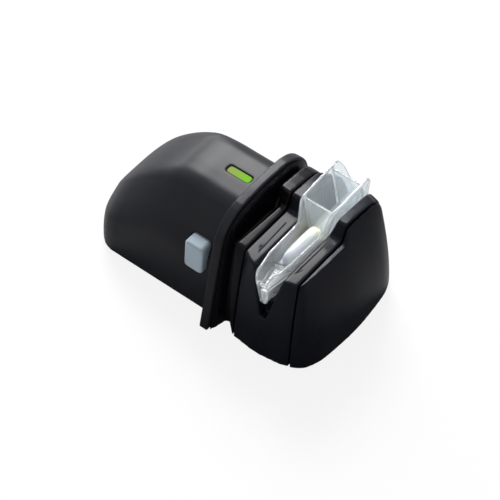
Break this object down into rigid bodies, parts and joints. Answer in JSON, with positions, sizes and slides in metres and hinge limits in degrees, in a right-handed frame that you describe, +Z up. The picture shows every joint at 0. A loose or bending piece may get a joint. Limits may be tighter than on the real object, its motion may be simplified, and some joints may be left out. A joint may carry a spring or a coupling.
{
  "type": "electric knife sharpener",
  "caption": "Battery-run knife sharpener: domed housing with an arch-shaped hand guard, black head with a V slot, clear lift-off blade guide over a grinding wheel, side push button.",
  "frame": {"origin": "middle of the outer box's base, on the ground under the rubber feet", "axes": "+Z up, -Y towards the front of the head, +Y towards the dome's rear end, the blade slot along X with the push button on the -X side"},
  "size_m": [0.0934, 0.1509, 0.073],
  "materials": {
    "dome_plastic": "matte",
    "head_plastic": "satin gloss",
    "clear_plastic": "clear",
    "cream_plastic": "translucent",
    "button_plastic": "satin",
    "lens_plastic": "clear tinted",
    "abrasive": "diamond grit",
    "steel": "plated",
    "bronze": "sintered",
    "core_iron": "varnished",
    "nylon": "satin",
    "inner_plastic": "satin",
    "base_plastic": "fine texture",
    "cell_sleeve": "printed sleeve",
    "board_green": "solder resist",
    "rubber": "matte"
  },
  "bodies": {
    "housing": {"rear_housing": "dome_plastic", "neck_cover": "head_plastic", "head_body": "head_plastic", "front_cap": "head_plastic", "indicator_lens": "lens_plastic", "front_bearing": "bronze", "rear_bearing": "bronze", "motor_can": "steel", "motor_end_cap": "inner_plastic", "motor_bracket": "steel", "motor_screw_1": "steel", "motor_screw_2": "steel", "switch_body": "inner_plastic", "battery_bay": "inner_plastic", "contact_front": "steel", "contact_rear": "steel", "battery_cell_1": "cell_sleeve", "contact_spring_1": "steel", "battery_cell_2": "cell_sleeve", "contact_spring_2": "steel", "battery_cell_3": "cell_sleeve", "contact_spring_3": "steel", "battery_cell_4": "cell_sleeve", "contact_spring_4": "steel", "base_plate": "base_plastic", "head_base": "base_plastic", "circuit_board": "board_green", "indicator_led": "lens_plastic", "rubber_foot_1": "rubber", "base_screw_1": "steel", "rubber_foot_2": "rubber", "base_screw_2": "steel", "rubber_foot_3": "rubber", "base_screw_3": "steel", "rubber_foot_4": "rubber", "base_screw_4": "steel"},
    "guide": {"knife_guide": "clear_plastic", "wheel_cover": "cream_plastic"},
    "wheel": {"wheel_shaft": "steel", "drive_gear": "nylon", "grinding_wheel": "abrasive", "wheel_hub": "steel", "wheel_nut": "steel"},
    "rotor": {"motor_shaft": "steel", "motor_pinion": "bronze", "motor_rotor": "core_iron"},
    "button": {"power_button": "button_plastic"},
    "plunger": {"switch_plunger": "nylon"},
    "door": {"battery_door": "base_plastic"}
  },
  "joints": [
    {"name": "guide_lift", "type": "slide", "parent": "housing", "child": "guide", "axis": [0, 0, 1], "range_m": [0, 0.03]},
    {"name": "wheel_spin", "type": "hinge", "parent": "housing", "child": "wheel", "pos_m": [-0.0092, -0.01825, 0.0403], "axis": [0, 1, 0], "continuous": true},
    {"name": "motor_spin", "type": "hinge", "parent": "housing", "child": "rotor", "pos_m": [0.0013, -0.01825, 0.0403], "axis": [0, 1, 0], "continuous": true},
    {"name": "button_press", "type": "slide", "parent": "housing", "child": "button", "axis": [1, 0, 0], "range_m": [0, 0.0015], "stiffness_N_per_m": 400, "springref_m": -0.0015},
    {"name": "switch_travel", "type": "slide", "parent": "housing", "child": "plunger", "axis": [1, 0, 0], "range_m": [0, 0.0015]},
    {"name": "battery_door_lift", "type": "slide", "parent": "housing", "child": "door", "axis": [0, 0, -1], "range_m": [0, 0.02]}
  ],
  "couplings": [
    {"joint": "motor_spin", "follows": "wheel_spin", "ratio": -2.5},
    {"joint": "switch_travel", "follows": "button_press", "ratio": 1}
  ]
}
